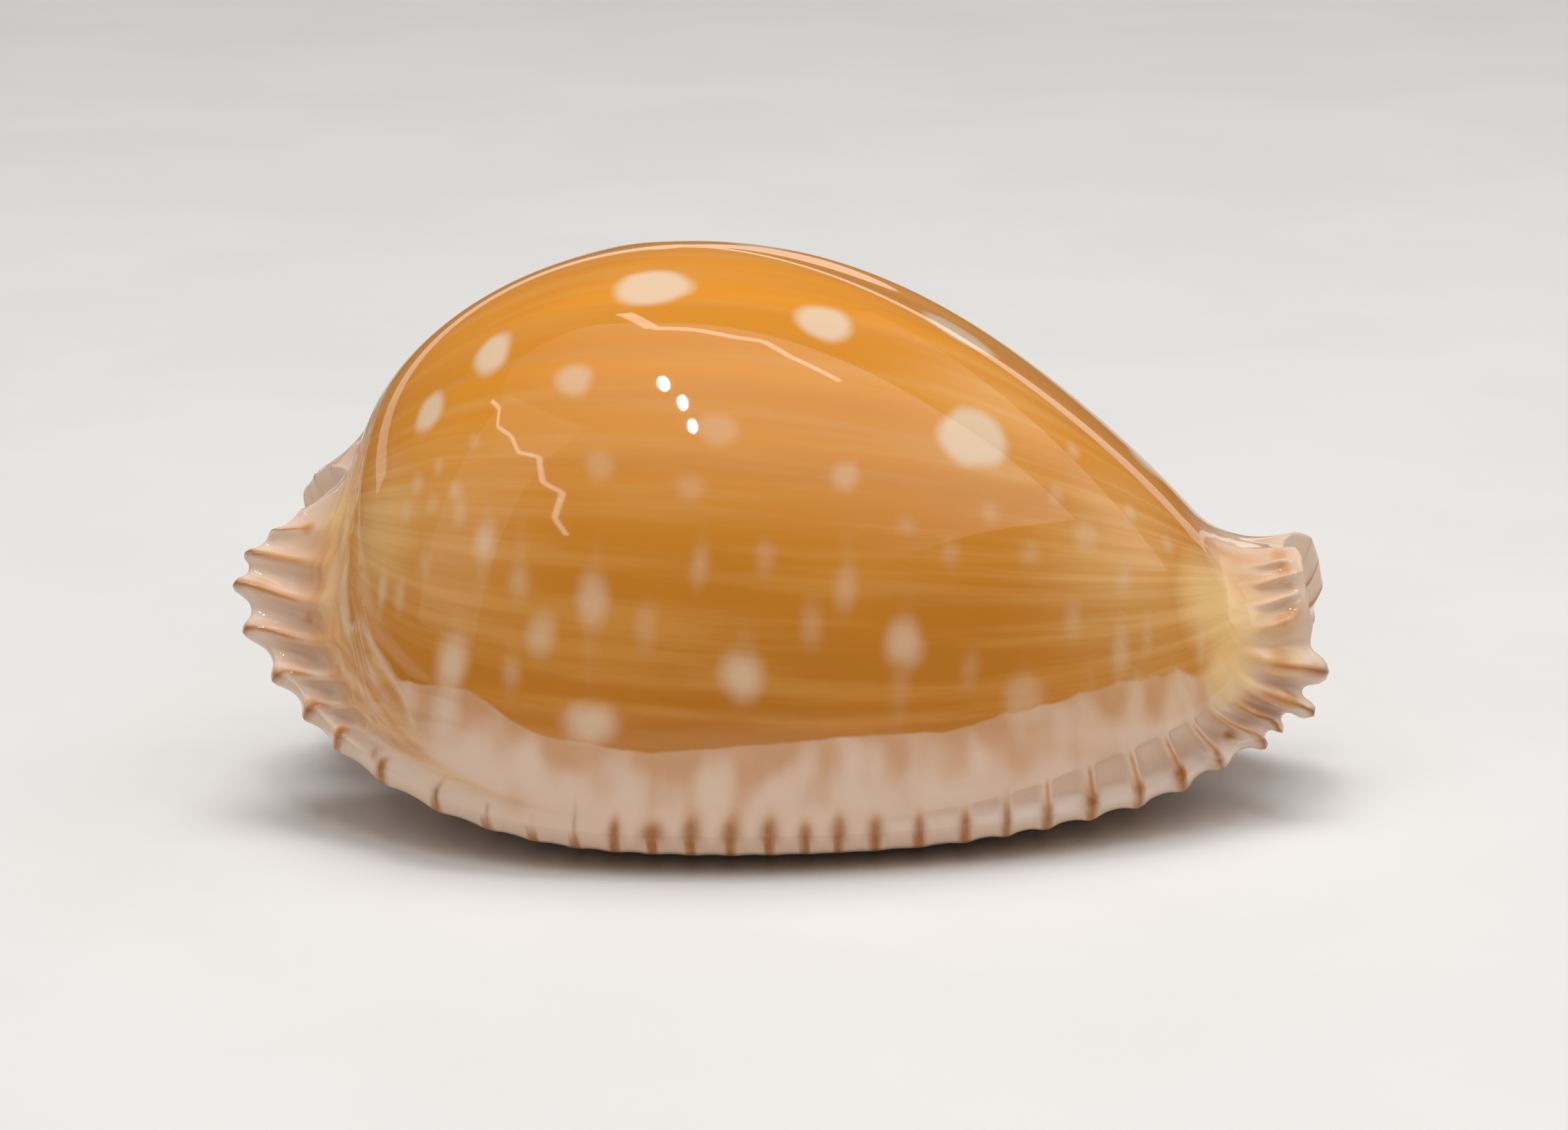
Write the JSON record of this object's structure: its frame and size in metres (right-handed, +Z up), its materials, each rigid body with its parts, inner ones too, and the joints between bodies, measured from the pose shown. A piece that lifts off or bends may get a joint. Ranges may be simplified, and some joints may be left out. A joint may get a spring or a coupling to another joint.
{
  "type": "cowrie shell",
  "caption": "Glossy pear-shaped cowrie shell with a high back, a narrow toothed slit along its flat base and ribbed, finely pointed rims at both ends.",
  "frame": {"origin": "centre of the bounding box's bottom, on the surface that the shell rests on", "axes": "+X towards the anterior (narrow) end, -Y towards the outer lip, +Y towards the columellar side, +Z up through the back"},
  "size_m": [0.0604, 0.036, 0.0308],
  "materials": {
    "shell_glaze": "orange-brown with cream spots and pale pinkish margins, polished like glazed porcelain"
  },
  "bodies": {
    "root": {"shell": "shell_glaze"}
  },
  "joints": []
}
